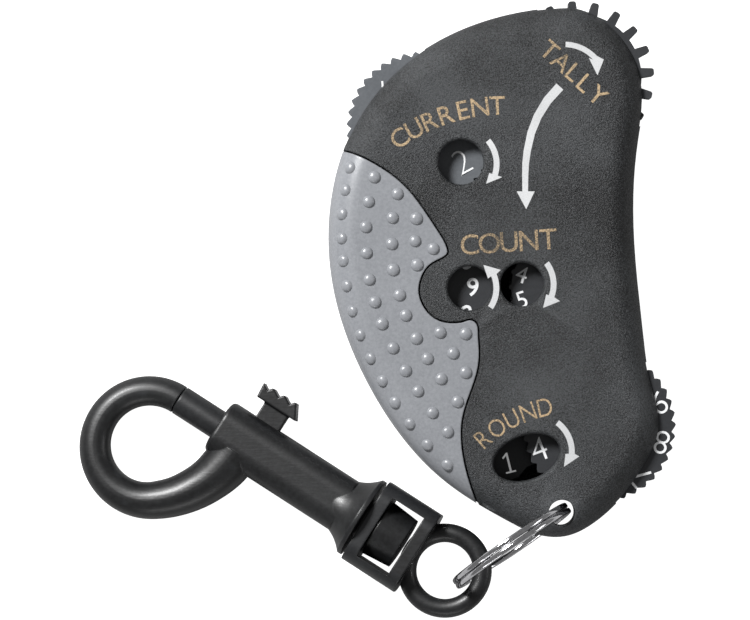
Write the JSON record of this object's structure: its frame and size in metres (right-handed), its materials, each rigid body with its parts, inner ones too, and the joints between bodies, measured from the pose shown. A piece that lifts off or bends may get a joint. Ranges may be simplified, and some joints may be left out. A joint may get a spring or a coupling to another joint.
{
  "type": "hand tally counter",
  "caption": "Pocket score counter with number wheels in a flat kidney-shaped case, turned by thumbwheels at its edge, on a split ring with a swivel snap hook.",
  "frame": {"origin": "middle of the casing's flat back face", "axes": "+Z out of the counter's face, away from the table it lies on; +Y towards the casing's top end with the total thumbwheel; +X to the right seen from the front"},
  "size_m": [0.086, 0.0885, 0.0206],
  "materials": {
    "casing_plastic": "fine grained",
    "grip_rubber": "satin with raised bumps",
    "wheel_plastic": "satin",
    "grey_wheel_plastic": "satin",
    "gear_plastic": "satin",
    "hook_plastic": "smooth, slightly scuffed",
    "ring_steel": "bright plated",
    "screw_steel": "zinc plated",
    "pin_steel": "ground",
    "spring_steel": "rolled"
  },
  "bodies": {
    "casing": {"front_shell": "casing_plastic", "back_shell": "casing_plastic", "side_grip": "grip_rubber", "casing_screws": "screw_steel", "strokes_axle": "pin_steel", "total_axle": "pin_steel", "idler_axle": "pin_steel", "score_units_axle": "pin_steel", "score_tens_axle": "pin_steel", "holes_units_axle": "pin_steel", "holes_tens_axle": "pin_steel", "strokes_detent_spring": "spring_steel", "total_detent_spring": "spring_steel", "score_tens_detent_spring": "spring_steel", "holes_units_detent_spring": "spring_steel", "holes_tens_detent_spring": "spring_steel"},
    "strokes_counter": {"strokes_wheel": "grey_wheel_plastic"},
    "total_drive": {"total_wheel": "wheel_plastic"},
    "idler": {"idler_gear": "gear_plastic"},
    "score_units": {"score_units_wheel": "wheel_plastic"},
    "score_tens": {"score_tens_wheel": "wheel_plastic"},
    "holes_units": {"holes_units_wheel": "wheel_plastic"},
    "holes_tens": {"holes_tens_wheel": "wheel_plastic"},
    "ring": {"split_ring": "ring_steel"},
    "eye": {"swivel_eye": "hook_plastic"},
    "hook": {"hook_body": "hook_plastic"},
    "gate": {"hook_gate": "hook_plastic", "gate_thumb_knob": "hook_plastic", "gate_spring": "spring_steel"}
  },
  "joints": [
    {"name": "strokes_wheel_spin", "type": "hinge", "parent": "casing", "child": "strokes_counter", "pos_m": [-0.00957, 0.02036, 0.009], "axis": [0, 0, 1], "continuous": true, "deforming": ["strokes_detent_spring"]},
    {"name": "total_wheel_spin", "type": "hinge", "parent": "casing", "child": "total_drive", "pos_m": [0.01257, 0.02755, 0.009], "axis": [0, 0, 1], "continuous": true, "deforming": ["total_detent_spring"]},
    {"name": "idler_gear_spin", "type": "hinge", "parent": "casing", "child": "idler", "pos_m": [0.00774, 0.01285, 0.009], "axis": [0, 0, 1], "continuous": true},
    {"name": "score_units_spin", "type": "hinge", "parent": "casing", "child": "score_units", "pos_m": [0.01014, -0.00243, 0.009], "axis": [0, 0, 1], "continuous": true},
    {"name": "score_tens_spin", "type": "hinge", "parent": "casing", "child": "score_tens", "pos_m": [-0.00886, -0.00243, 0.009], "axis": [0, 0, 1], "continuous": true, "deforming": ["score_tens_detent_spring"]},
    {"name": "holes_units_spin", "type": "hinge", "parent": "casing", "child": "holes_units", "pos_m": [0.01564, -0.02229, 0.009], "axis": [0, 0, 1], "continuous": true, "deforming": ["holes_units_detent_spring"]},
    {"name": "holes_tens_spin", "type": "hinge", "parent": "casing", "child": "holes_tens", "pos_m": [0.001, -0.02214, 0.009], "axis": [0, 0, 1], "continuous": true, "deforming": ["holes_tens_detent_spring"]},
    {"name": "ring_swing", "type": "hinge", "parent": "casing", "child": "ring", "pos_m": [0.0102, -0.03465, 0.0106], "axis": [0, 0, 1], "range_deg": [-6, 70]},
    {"name": "eye_swing", "type": "hinge", "parent": "ring", "child": "eye", "pos_m": [-0.00639, -0.0432, 0.0078], "axis": [0, 0, 1], "range_deg": [-5, 60]},
    {"name": "hook_swivel", "type": "hinge", "parent": "eye", "child": "hook", "pos_m": [-0.01729, -0.03626, 0.00642], "axis": [-0.8386, 0.5343, -0.1063], "continuous": true},
    {"name": "gate_slide", "type": "slide", "parent": "hook", "child": "gate", "axis": [0.8386, -0.5343, 0.1063], "range_m": [0, 0.0062], "stiffness_N_per_m": 120, "springref_m": -0.002, "deforming": ["gate_spring"]}
  ],
  "couplings": [
    {"joint": "idler_gear_spin", "follows": "total_wheel_spin", "ratio": -0.76923},
    {"joint": "score_units_spin", "follows": "total_wheel_spin", "ratio": 1}
  ]
}
